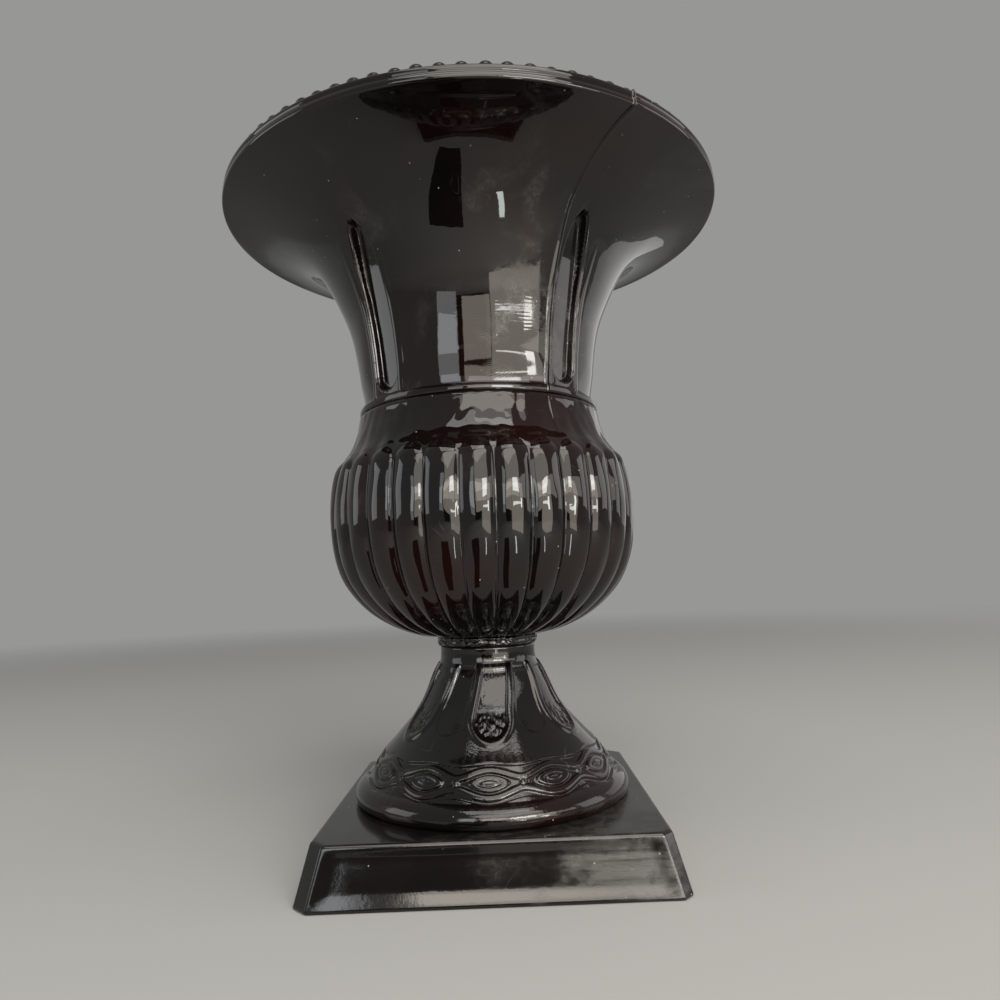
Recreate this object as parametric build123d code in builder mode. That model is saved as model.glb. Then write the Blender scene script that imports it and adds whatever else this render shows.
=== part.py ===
import os
from math import pi

from build123d import *

# The urn vase stands upright on its square plinth. Z is the axis of the vase,
# the origin is under the middle of the plinth, and the front faces -Y.

# Driving dimensions, in millimetres
plinth_height = 15.3
plinth_ledge = 4.4
plinth_batter = 4.0
plinth_corner_cut = 3.2
plinth_edge_radius = 0.8

foot_height = 45.6
foot_radius = 42.7
collar_radius = 15.2
collar_height = 4.9

wafer_overhang = 0.8
wafer_thickness = 3.3

bowl_height = 70.6
bowl_radius = 49.4
bowl_wall = 5.0
bowl_floor = 6.5
bowl_bottom_overhang = 3.0
flute_count = 30
flute_depth = 1.8

neck_height = 65.2
neck_radius = 39.2
neck_wall = 6.7
mouth_radius = 80.6
lip_height = 3.6
lip_width = 4.6
lip_edge_radius = 0.6
bead_count = 90
bead_radius = 2.0

joint_chamfer = 0.4
fit_clearance = 0.1
overrun = 14.0

# Heights of the joints between the pieces, from the plinth up
foot_base_z = plinth_height
wafer_base_z = foot_base_z + foot_height
bowl_base_z = wafer_base_z + wafer_thickness
neck_base_z = bowl_base_z + bowl_height
lip_base_z = neck_base_z + neck_height
lip_top_z = lip_base_z + lip_height

# Widths that follow from what each piece stands on or holds
plinth_top_width = (foot_radius + plinth_ledge) * 2
plinth_bottom_width = plinth_top_width + plinth_batter * 2
wafer_radius = collar_radius + wafer_overhang
bowl_bottom_radius = wafer_radius + bowl_bottom_overhang
neck_bore_radius = neck_radius - neck_wall


# Points of an outline in the XZ plane, from shares of its width and its height
def outline(shares, inner_radius, width, base_z, height):
    return [(inner_radius + width * out, base_z + height * up) for out, up in shares]


# Square plinth
foot_seat_radius = 30.0
foot_seat_depth = 1.5

with BuildPart() as square_plinth:
    with BuildSketch():
        Rectangle(plinth_bottom_width, plinth_bottom_width)
        chamfer(vertices(), plinth_corner_cut)
    with BuildSketch(Plane.XY.offset(plinth_height)):
        Rectangle(plinth_top_width, plinth_top_width)
        chamfer(vertices(), plinth_corner_cut)
    loft()
    fillet(edges().group_by(Axis.Z)[-1] + edges().group_by(Axis.Z)[0], plinth_edge_radius)
    # The round seat holds the boss under the foot
    with BuildSketch(Plane.XY.offset(plinth_height)):
        Circle(foot_seat_radius + fit_clearance)
    extrude(amount=-foot_seat_depth - fit_clearance, mode=Mode.SUBTRACT)

# Pedestal foot: a trumpet on a round base, with a collar at its top
base_flat_inset = 1.5
base_bulge_z_share = 0.06
band_depth = 0.5
band_bottom_share = (0.864, 0.165)
band_top_share = (0.655, 0.330)
trumpet_shares = [(0.392, 0.500), (0.175, 0.673), (0.056, 0.807)]
socket_radius = 6.0
socket_depth = 1.2

foot_spread = foot_radius - collar_radius
collar_base_z = wafer_base_z - collar_height
base_flat = (foot_radius - base_flat_inset, foot_base_z)
base_bulge = (foot_radius, foot_base_z + foot_height * base_bulge_z_share)
band_bottom, band_top = outline(
    [band_bottom_share, band_top_share], collar_radius, foot_spread, foot_base_z, foot_height
)
trumpet_points = outline(trumpet_shares, collar_radius, foot_spread, foot_base_z, foot_height)
collar_base = (collar_radius, collar_base_z)
band_slope = (Vector(*band_top) - Vector(*band_bottom)).normalized()
band_inward = Vector(-band_slope.Y, band_slope.X)


# The trumpet's outline, moved inward by a depth for the recesses on it
def trumpet_curve(depth):
    points = [band_top, *trumpet_points, collar_base]
    moved = [(radius - depth, height) for radius, height in points]
    return Spline(*moved, tangents=[band_slope, (0, 1)])


floor_bottom = Vector(*band_bottom) + band_inward * band_depth
floor_top = Vector(*band_top) + band_inward * band_depth

# Recesses round the trumpet: stippled tongues in line with every second oval
# of the band, and narrower smooth flutes between them
tongue_count = 6
tongue_depth = 0.8
tongue_top_width = 6.8
tongue_bottom_width = 11.4
flute_panel_depth = 0.5
flute_panel_top_width = 4.6
flute_panel_bottom_width = 8.8
recess_top_gap = 0.6
recess_bottom_gap = 5.6


# A tapered recess with a round bottom, cut to a depth below the trumpet
def trumpet_recess(top_width, bottom_width, depth):
    top_z = collar_base_z - recess_top_gap
    round_radius = bottom_width / 2
    round_z = band_top[1] + recess_bottom_gap + round_radius
    with BuildPart() as recess:
        with BuildSketch(Plane.XZ):
            with BuildLine():
                Polyline(
                    (-round_radius, round_z),
                    (-top_width / 2, top_z),
                    (top_width / 2, top_z),
                    (round_radius, round_z),
                )
                ThreePointArc(
                    (round_radius, round_z),
                    (0, round_z - round_radius),
                    (-round_radius, round_z),
                )
            make_face()
        extrude(amount=foot_radius)
        with BuildSketch(Plane.XZ):
            with BuildLine():
                low = (band_top[0] - depth, band_top[1])
                high = (collar_radius - depth, collar_base_z)
                trumpet_curve(depth)
                Polyline(high, (0, collar_base_z), (0, band_top[1]), low)
            make_face()
        revolve(axis=Axis.Z, mode=Mode.SUBTRACT)
    return recess.part


# Relief on the band: ovals with a lens inside each, and dots between them
oval_count = 12
oval_width = 13.6
oval_height = 8.4
oval_rim = 1.3
lens_width = 7.4
lens_height = 3.4
dot_radius = 1.0

band_radius = (band_bottom[0] + band_top[0]) / 2
band_middle_z = (band_bottom[1] + band_top[1]) / 2
relief_plane = Plane(
    origin=(0, -band_radius, band_middle_z),
    x_dir=(1, 0, 0),
    z_dir=(0, band_inward.X, -band_inward.Y),
)

with BuildPart() as oval_prism:
    with BuildSketch(relief_plane):
        Ellipse(oval_width / 2, oval_height / 2)
        Ellipse(oval_width / 2 - oval_rim, oval_height / 2 - oval_rim, mode=Mode.SUBTRACT)
        Ellipse(lens_width / 2, lens_height / 2)
    extrude(amount=overrun, both=True)

with BuildPart() as dot_prism:
    with BuildSketch(relief_plane):
        Circle(dot_radius)
    extrude(amount=overrun, both=True)

with BuildPart() as relief:
    with PolarLocations(0, oval_count):
        add(oval_prism.part)
    with PolarLocations(0, oval_count, start_angle=180 / oval_count):
        add(dot_prism.part)
    with BuildSketch(Plane.XZ):
        with BuildLine():
            Polyline(band_bottom, floor_bottom, floor_top, band_top, close=True)
        make_face()
    revolve(axis=Axis.Z, mode=Mode.INTERSECT)

tongue_cutter = trumpet_recess(tongue_top_width, tongue_bottom_width, tongue_depth)
flute_panel_cutter = trumpet_recess(
    flute_panel_top_width, flute_panel_bottom_width, flute_panel_depth
)

with BuildPart() as pedestal_foot:
    with BuildSketch(Plane.XZ):
        with BuildLine():
            Polyline(
                (0, foot_base_z - foot_seat_depth),
                (foot_seat_radius, foot_base_z - foot_seat_depth),
                (foot_seat_radius, foot_base_z),
                base_flat,
            )
            ThreePointArc(base_flat, base_bulge, band_bottom)
            Polyline(band_bottom, floor_bottom, floor_top, band_top)
            trumpet_curve(0)
            Polyline(
                collar_base,
                (collar_radius, wafer_base_z),
                (socket_radius + fit_clearance, wafer_base_z),
                (socket_radius + fit_clearance, wafer_base_z - socket_depth - fit_clearance),
                (0, wafer_base_z - socket_depth - fit_clearance),
                (0, foot_base_z - foot_seat_depth),
            )
        make_face()
    revolve(axis=Axis.Z)
    with PolarLocations(0, tongue_count):
        add(tongue_cutter, mode=Mode.SUBTRACT)
    with PolarLocations(0, tongue_count, start_angle=180 / tongue_count):
        add(flute_panel_cutter, mode=Mode.SUBTRACT)
    add(relief.part)

# Stem wafer: the button of glass that joins the bowl to the foot
wafer_edge_radius = 1.4

with BuildPart() as stem_wafer:
    with BuildSketch(Plane.XY.offset(wafer_base_z)):
        Circle(wafer_radius)
    extrude(amount=wafer_thickness)
    fillet(edges(), wafer_edge_radius)
    with BuildSketch(Plane.XY.offset(wafer_base_z - socket_depth)):
        Circle(socket_radius)
    extrude(amount=wafer_thickness + 2 * socket_depth)


# Fluted bowl: a round bowl with arched flutes and a low collar for the neck
side_share = (0.918, 0.309)
equator_z_share = 0.557
flute_top_share = (0.895, 0.782)
cove_top_z_share = 0.925
collar_swell = 0.7
spigot_wall = 3.5
spigot_length = 3.0
ledge_inset = 2.5
floor_flat_radius = 14.0
flute_lift = 1.2
flute_start_z_share = 0.799
flute_side_share = (0.842, 0.289)
flute_end_share = (0.066, -0.023)
flute_bulge_shares = (0.40, 0.72)

spigot_radius = neck_bore_radius + spigot_wall
rebate_radius = spigot_radius + fit_clearance
rebate_z = neck_base_z - spigot_length - fit_clearance
bowl_spread = bowl_radius - bowl_bottom_radius
bowl_bottom = (bowl_bottom_radius, bowl_base_z)
side_point, flute_top, flute_side, flute_end = outline(
    [side_share, flute_top_share, flute_side_share, flute_end_share],
    bowl_bottom_radius,
    bowl_spread,
    bowl_base_z,
    bowl_height,
)
equator_z = bowl_base_z + bowl_height * equator_z_share
cove_top = (neck_radius + collar_swell, bowl_base_z + bowl_height * cove_top_z_share)
collar_top = (neck_radius, neck_base_z - joint_chamfer)
flute_start = (flute_top[0] + flute_lift, bowl_base_z + bowl_height * flute_start_z_share)
flute_half_width = pi * bowl_radius / flute_count
flute_bulge = (flute_half_width * flute_bulge_shares[0], flute_depth * flute_bulge_shares[1])

# The groove between two flutes, which follows the bowl from its shoulder down
with BuildPart() as flute_groove:
    with BuildLine(Plane.XZ) as groove_path:
        groove_side = ThreePointArc(flute_start, (bowl_radius - flute_depth, equator_z), flute_side)
        TangentArc(flute_side, flute_end, tangent=groove_side % 1)
    with BuildSketch(
        Plane(origin=groove_path.line @ 0, x_dir=(0, 1, 0), z_dir=groove_path.line % 0)
    ):
        with BuildLine():
            ThreePointArc((0, 0), flute_bulge, (flute_half_width, flute_depth))
            Polyline(
                (flute_half_width, flute_depth),
                (flute_half_width, flute_depth + flute_lift * 2),
                (-flute_half_width, flute_depth + flute_lift * 2),
                (-flute_half_width, flute_depth),
            )
            ThreePointArc(
                (-flute_half_width, flute_depth), (-flute_bulge[0], flute_bulge[1]), (0, 0)
            )
        make_face()
    sweep(path=groove_path.line)

with BuildPart() as fluted_bowl:
    with BuildSketch(Plane.XZ):
        with BuildLine():
            equator = (bowl_radius, equator_z)
            side_arc = TangentArc(equator, side_point, tangent=(0, -1))
            TangentArc(side_point, bowl_bottom, tangent=side_arc % 1)
            TangentArc(equator, flute_top, tangent=(0, 1))
            TangentArc(cove_top, flute_top, tangent=(0, -1))
            TangentArc(cove_top, collar_top, tangent=(0, 1))
            inner_equator = (bowl_radius - bowl_wall, equator_z)
            inner_floor = (floor_flat_radius, bowl_base_z + bowl_floor)
            ledge = (rebate_radius - ledge_inset, rebate_z)
            Polyline(
                collar_top,
                (neck_radius - joint_chamfer, neck_base_z),
                (rebate_radius, neck_base_z),
                (rebate_radius, rebate_z),
                ledge,
            )
            TangentArc(inner_equator, ledge, tangent=(0, 1))
            TangentArc(inner_equator, inner_floor, tangent=(0, -1))
            Polyline(
                inner_floor,
                (0, bowl_base_z + bowl_floor),
                (0, bowl_base_z + socket_depth + fit_clearance),
                (socket_radius + fit_clearance, bowl_base_z + socket_depth + fit_clearance),
                (socket_radius + fit_clearance, bowl_base_z),
                bowl_bottom,
            )
        make_face()
    revolve(axis=Axis.Z)
    with PolarLocations(0, flute_count):
        add(flute_groove.part, mode=Mode.SUBTRACT)

# Bell and neck: a panelled neck that opens into the wide beaded mouth
bell_shares = [(0, 0), (0.048, 0.255), (0.14, 0.535), (0.254, 0.735), (0.437, 0.863)]
brim_shares = [(0.704, 0.953), (1, 1)]
bore_shares = [(0, 0.20), (0.04, 0.38), (0.11, 0.57), (0.18, 0.73), (0.26, 0.84)]
bore_brim_shares = [(0.44, 0.93), (0.72, 0.995)]
brim_slope_share = 0.22
bore_slope_share = 0.36
panel_count = 4
panel_arc_radius = 55.0
panel_depth = 2.2
panel_depth_shares = [1.0, 0.95, 1.15, 0.75, -0.5]
panel_base_gap = 1.7
channel_width = 10.4
channel_base_gap = 3.7
channel_top_z_share = 0.808
channel_floor_wall = 4.5
channel_top_wall = 2.2

bell_spread = mouth_radius - neck_radius
bell_points = outline(bell_shares, neck_radius, bell_spread, neck_base_z, neck_height)
bell_points[0] = (neck_radius, neck_base_z + joint_chamfer)
brim_points = outline(brim_shares, neck_radius, bell_spread, neck_base_z, neck_height)
lip_radius = mouth_radius - lip_width
bore_points = outline(
    bore_shares + bore_brim_shares,
    neck_bore_radius,
    lip_radius - neck_bore_radius,
    neck_base_z,
    neck_height,
)

# Each wide panel bulges on a radius larger than the neck's, about an axis behind
panel_axis_shift = panel_arc_radius - (neck_radius - panel_depth)
panel_points = [
    (radius - panel_depth * share + panel_axis_shift, height)
    for (radius, height), share in zip(bell_points, panel_depth_shares)
]
panel_points[0] = (panel_points[0][0], neck_base_z + panel_base_gap)
panel_reach = mouth_radius + panel_axis_shift

with BuildPart() as panel_cutter:
    with BuildSketch(Plane.XZ):
        with BuildLine():
            Spline(*panel_points)
            Polyline(
                panel_points[-1],
                (panel_reach, panel_points[-1][1]),
                (panel_reach, panel_points[0][1]),
                panel_points[0],
            )
        make_face()
    revolve(axis=Axis.Z)

# The channels between the panels have round ends, and floors that lean outward
channel_low = Vector(neck_bore_radius + channel_floor_wall, neck_base_z + channel_base_gap)
channel_high = Vector(
    bore_points[4][0] + channel_top_wall, neck_base_z + neck_height * channel_top_z_share
)
channel_run = channel_high - channel_low
channel_middle = (channel_low + channel_high) / 2
channel_plane = Plane(
    origin=(0, -channel_middle.X, channel_middle.Y),
    x_dir=(1, 0, 0),
    z_dir=(0, -channel_run.Y, -channel_run.X),
)

with BuildPart() as channel_cutter:
    with BuildSketch(channel_plane):
        SlotOverall(channel_run.length, channel_width, rotation=90)
    extrude(amount=overrun)

with BuildPart() as bell_and_neck:
    with BuildSketch(Plane.XZ):
        with BuildLine():
            Spline(*bell_points, *brim_points, tangents=[(0, 1), (1, brim_slope_share)])
            Polyline(
                (mouth_radius, lip_base_z), (mouth_radius, lip_top_z), (lip_radius, lip_top_z)
            )
            Spline(
                (lip_radius, lip_top_z),
                *reversed(bore_points),
                tangents=[(-1, -bore_slope_share), (0, -1)],
            )
            Polyline(
                bore_points[0],
                (neck_bore_radius, neck_base_z - spigot_length),
                (spigot_radius, neck_base_z - spigot_length),
                (spigot_radius, neck_base_z),
                (neck_radius - joint_chamfer, neck_base_z),
                bell_points[0],
            )
        make_face()
    revolve(axis=Axis.Z)
    fillet(edges().filter_by_position(Axis.Z, lip_base_z, lip_top_z), lip_edge_radius)
    with PolarLocations(panel_axis_shift, panel_count):
        add(panel_cutter.part, mode=Mode.SUBTRACT)
    with PolarLocations(0, panel_count, start_angle=180 / panel_count):
        add(channel_cutter.part, mode=Mode.SUBTRACT)
    with PolarLocations(mouth_radius - lip_width / 2, bead_count):
        with Locations((0, 0, lip_top_z)):
            Sphere(bead_radius)

# One file for each piece, named as the piece is
os.makedirs("parts", exist_ok=True)
square_plinth.part.label = "square_plinth"
export_step(square_plinth.part, "parts/square_plinth.step")
pedestal_foot.part.label = "pedestal_foot"
export_step(pedestal_foot.part, "parts/pedestal_foot.step")
stem_wafer.part.label = "stem_wafer"
export_step(stem_wafer.part, "parts/stem_wafer.step")
fluted_bowl.part.label = "fluted_bowl"
export_step(fluted_bowl.part, "parts/fluted_bowl.step")
bell_and_neck.part.label = "bell_and_neck"
export_step(bell_and_neck.part, "parts/bell_and_neck.step")
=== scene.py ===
import bpy
import numpy as np
from mathutils import Matrix, Vector


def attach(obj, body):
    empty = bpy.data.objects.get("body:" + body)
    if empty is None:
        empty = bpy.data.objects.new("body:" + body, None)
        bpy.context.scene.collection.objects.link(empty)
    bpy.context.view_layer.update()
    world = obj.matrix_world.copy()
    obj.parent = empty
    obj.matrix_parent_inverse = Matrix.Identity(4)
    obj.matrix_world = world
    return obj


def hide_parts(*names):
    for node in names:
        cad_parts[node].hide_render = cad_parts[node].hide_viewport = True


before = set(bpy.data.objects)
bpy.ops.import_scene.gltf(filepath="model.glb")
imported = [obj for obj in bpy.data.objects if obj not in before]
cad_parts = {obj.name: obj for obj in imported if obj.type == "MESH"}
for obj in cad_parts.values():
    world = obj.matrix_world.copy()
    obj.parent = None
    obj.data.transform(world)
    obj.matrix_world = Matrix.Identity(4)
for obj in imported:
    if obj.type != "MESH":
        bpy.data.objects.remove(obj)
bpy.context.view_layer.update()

# Black glass urn vase. Lengths in the settings are millimetres and angles degrees;
# azimuth 0 is the front (-Y) and grows towards +X. The meshes are built in metres.
metresPerMm = 0.001
tiny = 1e-6
fineCount = 600        # points of a curve before its rows are spaced
plainRows = 3          # rows of a short straight run
rng = np.random.default_rng(seed=7)


# Curves and profiles

# Uniform cubic B-spline: every point of the curve is a weighted mean of four neighbouring
# points, so it bends evenly; the end points are mirrored, so it starts and ends on them
def softCurve(points, count, samplesPerPoint=40):
    p = np.array(points, float)
    p = np.vstack([2 * p[0] - p[1], p, 2 * p[-1] - p[-2]])
    u = np.linspace(0, len(p) - 3, samplesPerPoint * len(p))
    k = np.minimum(u.astype(int), len(p) - 4)
    t = (u - k)[:, None]
    curve = ((1 - t) ** 3 * p[k] + (3 * t**3 - 6 * t**2 + 4) * p[k + 1]
             + (-3 * t**3 + 3 * t**2 + 3 * t + 1) * p[k + 2] + t**3 * p[k + 3]) / 6
    return respaced(curve, count)


# The same line with its points at equal steps along its length, or closer together where the
# spacing, a value in smooth steps over the height, is small
def respaced(curve, count, spacing=(1.0, ())):
    steps = np.hypot(*np.diff(curve, axis=0).T) / smoothSteps(*spacing, curve[1:, 1])
    along = np.concatenate([[0], np.cumsum(steps)])
    wanted = np.linspace(0, along[-1], count)
    return np.stack([np.interp(wanted, along, curve[:, i]) for i in (0, 1)], 1)


# A straight line in equal steps: (1 - share) start + share end
def straight(start, end, count):
    share = np.linspace(0, 1, count)[:, None]
    return np.array(start, float) * (1 - share) + np.array(end, float) * share


# A step of a turned profile: a level run, an upright at a radius and a second level run. The
# gaps are what the four inner ends keep from their corners.
def step(start, radius, end, counts, gaps=(0.2, 0.2, 0.0, 0.2)):
    side, way = np.sign(radius - start[0]), np.sign(end[1] - start[1])
    return joined(
        straight(start, (radius - side * gaps[0], start[1]), counts[0]),
        straight((radius, start[1] + way * gaps[1]), (radius, end[1] - way * gaps[2]), counts[1]),
        straight((radius + side * gaps[3], end[1]), end, counts[2]))


# Sections joined end to end, with the points that two sections share kept once
def joined(*sections, apart=1e-4):
    line = np.vstack(sections)
    keep = np.concatenate([[True], np.hypot(*np.diff(line, axis=0).T) > apart])
    return line[keep]


# Outward normal of a profile that runs upwards on the outside: its tangent turned by -90 degrees
def profileNormals(profile):
    tangent = np.gradient(profile, axis=0)
    tangent /= np.hypot(*tangent.T)[:, None]
    return np.stack([tangent[:, 1], -tangent[:, 0]], 1)


# True for the rows of a profile from start up to, and without, end
def rowMask(profile, start, end):
    row = np.arange(len(profile))[:, None]
    return (row >= start) & (row < end)


# Values that rise, fade, wave and repeat

# 0 below low, 1 above high, and 3 t^2 - 2 t^3 between them
def smoothStep(low, high, x):
    t = np.clip((x - low) / (high - low), 0, 1)
    return t * t * (3 - 2 * t)


# A first value, to which each change is added smoothly between its two ends
def smoothSteps(first, changes, x):
    return first + sum(change * smoothStep(low, high, x) for low, high, change in changes)


# Smaller of two values, rounded over where they are closer than the softness
def softMin(a, b, softness):
    h = np.clip(0.5 + 0.5 * (b - a) / softness, 0, 1)
    return b * (1 - h) + a * h - softness * h * (1 - h)


# Height of a round-topped ridge: (1 - (distance / half width)^2) to a power
def ridge(distance, halfWidth, power=0.75):
    return np.clip(1 - (distance / halfWidth) ** 2, 0, None) ** power


# Signed angle from the nearest of the directions that repeat at a pitch round the axis
def angleFrom(azimuth, direction=0.0, pitch=360.0):
    return (azimuth - direction + pitch / 2) % pitch - pitch / 2


# Smooth waviness round the axis: the mean of cos(m azimuth + phase) with seeded phases
def unevenness(azimuth, waves):
    turn = np.radians(azimuth)[..., None] * np.array(waves)
    return np.cos(turn + rng.uniform(0, 2 * np.pi, len(waves))).sum(-1) / len(waves)


# Slow waviness of a pressed skin: a sum of waves cos(m azimuth + k height + phase) with whole
# numbers m, and lengths and phases that are seeded
def wavySkin(azimuth, height, s):
    total = np.zeros(np.broadcast_shapes(azimuth.shape, height.shape))
    for _ in range(s["skinWaves"]):
        m, length = rng.integers(*s["skinTurns"]), rng.uniform(*s["skinLengths"])
        phase, way = rng.uniform(0, 2 * np.pi), rng.choice((-1, 1))
        total += np.cos(m * np.radians(azimuth) + way * 2 * np.pi * height / length + phase)
    return s["waviness"] * total / np.sqrt(s["skinWaves"])


# Grids and meshes

# Azimuths round a piece at equal steps
def evenColumns(count):
    return np.linspace(0, 360, count, endpoint=False)[None, :]


# Azimuths round a piece, closer together where spacing(azimuth) is small
def columnsOf(spacing, count, stepsPerDegree=100):
    fine = np.linspace(0, 360, 360 * stepsPerDegree + 1)
    density = np.concatenate([[0], np.cumsum(1 / spacing(fine[:-1] + 0.5 / stepsPerDegree))])
    return np.interp(np.linspace(0, density[-1], count + 1)[:-1], density, fine)[None, :]


# Radii and heights turned round the axis: (radius sin azimuth, -radius cos azimuth, height)
def revolved(radius, height, azimuth):
    angle = np.radians(azimuth)
    x, y = radius * np.sin(angle), -radius * np.cos(angle)
    return np.stack([x, y, np.broadcast_to(height, x.shape)], -1)


# A turned profile, each point pushed out by a distance along the profile's normal and lifted
def pressed(profile, raised, azimuth, lift=0.0):
    normal = profileNormals(profile)
    radius, height = profile[:, :1] + normal[:, :1] * raised, profile[:, 1:] + normal[:, 1:] * raised
    return revolved(radius, height + lift, azimuth)


# Vertex numbers of a grid, row by row, with the first column again at the end where it closes
def gridIndex(rows, columns, closed=True):
    index = np.arange(rows * columns).reshape(rows, columns)
    return np.hstack([index, index[:, :1]]) if closed else index


# The quads between neighbouring rows and columns of vertex numbers
def quadsOf(index):
    return np.stack([index[:-1, :-1], index[:-1, 1:], index[1:, 1:], index[1:, :-1]], -1).reshape(-1, 4)


# Faces of stacked rings whose two ends meet in one vertex each; these two are numbered last
def domeFaces(rows, columns):
    index = gridIndex(rows, columns)
    low, high = rows * columns, rows * columns + 1
    capLow = np.stack([np.full(columns, low), index[0, 1:], index[0, :-1]], -1)
    capHigh = np.stack([np.full(columns, high), index[-1, :-1], index[-1, 1:]], -1)
    return quadsOf(index), np.vstack([capLow, capHigh])


# A mesh from a grid of points (row, column, xyz) that closes round its columns. Its rows
# close into a ring, or end in a single point where poles is True.
def gridMesh(name, points, poles):
    rows, columns = points.shape[:2]
    if poles:
        body = np.vstack([points[1:-1].reshape(-1, 3), points[[0, -1]].mean(1)])
        return meshObject(name, body, *domeFaces(rows - 2, columns))
    index = gridIndex(rows, columns)
    return meshObject(name, points.reshape(-1, 3), quadsOf(np.vstack([index, index[:1]])))


# A smooth-shaded object from points in millimetres and the vertex numbers of its faces
def meshObject(name, body, quads, triangles=()):
    mesh = bpy.data.meshes.new(name)
    corners = np.concatenate([np.ravel(quads), np.ravel(triangles)]).astype(np.int32)
    sizes = np.concatenate([np.full(len(quads), 4), np.full(len(triangles), 3)])
    starts = (np.cumsum(sizes) - sizes).astype(np.int32)
    mesh.vertices.add(len(body))
    mesh.vertices.foreach_set("co", (body * metresPerMm).astype(np.float32).ravel())
    mesh.loops.add(len(corners))
    mesh.loops.foreach_set("vertex_index", corners)
    mesh.polygons.add(len(starts))
    mesh.polygons.foreach_set("loop_start", starts)
    mesh.update(calc_edges=True)
    mesh.validate()
    mesh.polygons.foreach_set("use_smooth", np.ones(len(mesh.polygons), bool))
    made = bpy.data.objects.new(name, mesh)
    bpy.context.scene.collection.objects.link(made)
    return made


# Gives a piece its material and its body, and hides the CAD nodes that it replaces
def place(piece, material, slotName, *nodes):
    piece.data.materials.append(material)
    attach(piece, "root")
    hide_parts(*nodes)
    print("made", piece.name, sum(len(p.vertices) - 2 for p in piece.data.polygons), "triangles")


# Shader nodes

# A node with its settings; a socket given as a value is linked and any other value is set
def addNode(tree, kind, sockets=None, **settings):
    made = tree.nodes.new(kind)
    for key, value in settings.items():
        setattr(made, key, value)
    for key, value in (sockets or {}).items():
        if isinstance(value, bpy.types.NodeSocket):
            tree.links.new(value, made.inputs[key])
        else:
            made.inputs[key].default_value = value
    return made


def math(tree, operation, a, b=0.0, clamp=False):
    return addNode(tree, "ShaderNodeMath", {0: a, 1: b}, operation=operation, use_clamp=clamp).outputs[0]


def vectorMath(tree, operation, a, b=(0, 0, 0)):
    made = addNode(tree, "ShaderNodeVectorMath", {0: a, 1: b}, operation=operation)
    return made.outputs["Value" if operation == "LENGTH" else 0]


# A value taken smoothly from one range to another
def ramped(tree, value, low, high, toLow=0.0, toHigh=1.0):
    sockets = {"Value": value, "From Min": low, "From Max": high, "To Min": toLow, "To Max": toHigh}
    return addNode(tree, "ShaderNodeMapRange", sockets, interpolation_type="SMOOTHSTEP").outputs[0]


# A value that falls smoothly from its start, below low, to 0, above high
def falling(tree, value, low, high, start=1.0):
    return ramped(tree, value, low, high, toLow=start, toHigh=0.0)


def noise(tree, vector, scale, detail=2.0, roughness=0.5, distortion=0.0):
    sockets = {"Vector": vector, "Scale": scale, "Detail": detail, "Roughness": roughness,
               "Distortion": distortion}
    return addNode(tree, "ShaderNodeTexNoise", sockets).outputs["Fac"]


def stretched(tree, vector, scale, rotation=(0, 0, 0)):
    sockets = {"Vector": vector, "Scale": scale, "Rotation": rotation}
    return addNode(tree, "ShaderNodeMapping", sockets).outputs[0]


# The first colour where the factor is 0 and the second where it is 1
def mixed(tree, factor, first, second):
    sockets = {"Factor": factor, 6: first, 7: second}
    return addNode(tree, "ShaderNodeMix", sockets, data_type="RGBA").outputs[2]


# Ripples of even pitch along a distance: sin(2 pi distance / pitch)
def ripple(tree, distance, pitch):
    return math(tree, "SINE", math(tree, "MULTIPLY", math(tree, "DIVIDE", distance, pitch), 2 * np.pi))


# A node group with its sockets; a socket's value is left alone where it is None
def newGroup(name, inputs, outputs):
    group = bpy.data.node_groups.new(name, "ShaderNodeTree")
    for socketName, kind, value in inputs:
        socket = group.interface.new_socket(socketName, in_out="INPUT", socket_type=kind)
        if value is not None:
            socket.default_value = value
    for socketName, kind in outputs:
        group.interface.new_socket(socketName, in_out="OUTPUT", socket_type=kind)
    return group, group.nodes.new("NodeGroupInput").outputs, group.nodes.new("NodeGroupOutput").inputs


def groupNode(tree, group, **sockets):
    return addNode(tree, "ShaderNodeGroup", sockets, node_tree=group).outputs[0]


vectorKind, floatKind = "NodeSocketVector", "NodeSocketFloat"

# Slow swells and a fine orange-peel skin that pressed glass keeps from the mould
meltSkin, given, result = newGroup(
    "meltSkin",
    [("Vector", vectorKind, None), ("Swell", floatKind, 1.0), ("Peel", floatKind, 1.0),
     ("PeelScale", floatKind, 420.0)],
    [("Height", floatKind)])
swell = noise(meltSkin, given["Vector"], scale=62.0, detail=1.5, roughness=0.4)
peel = noise(meltSkin, given["Vector"], given["PeelScale"])
swell = math(meltSkin, "MULTIPLY", swell, given["Swell"])
peel = math(meltSkin, "MULTIPLY", peel, given["Peel"])
meltSkin.links.new(math(meltSkin, "ADD", swell, peel), result["Height"])

# Grease where hands have held the glass: patches, with a broken finer grain in them
handMarks, given, result = newGroup(
    "handMarks", [("Vector", vectorKind, None), ("Amount", floatKind, 1.0)], [("Mask", floatKind)])
cloudy = noise(handMarks, given["Vector"], scale=38.0, detail=3.0, roughness=0.6, distortion=0.8)
patch = ramped(handMarks, cloudy, low=0.54, high=0.74)
streaked = stretched(handMarks, given["Vector"], scale=(1.0, 1.0, 0.45), rotation=(0.3, 0.5, 0.0))
grain = noise(handMarks, streaked, scale=900.0, detail=4.0, roughness=0.75)
grain = ramped(handMarks, grain, low=0.38, high=0.66, toLow=0.25)
marks = math(handMarks, "MULTIPLY", patch, grain)
handMarks.links.new(math(handMarks, "MULTIPLY", marks, given["Amount"], clamp=True), result["Mask"])
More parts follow.
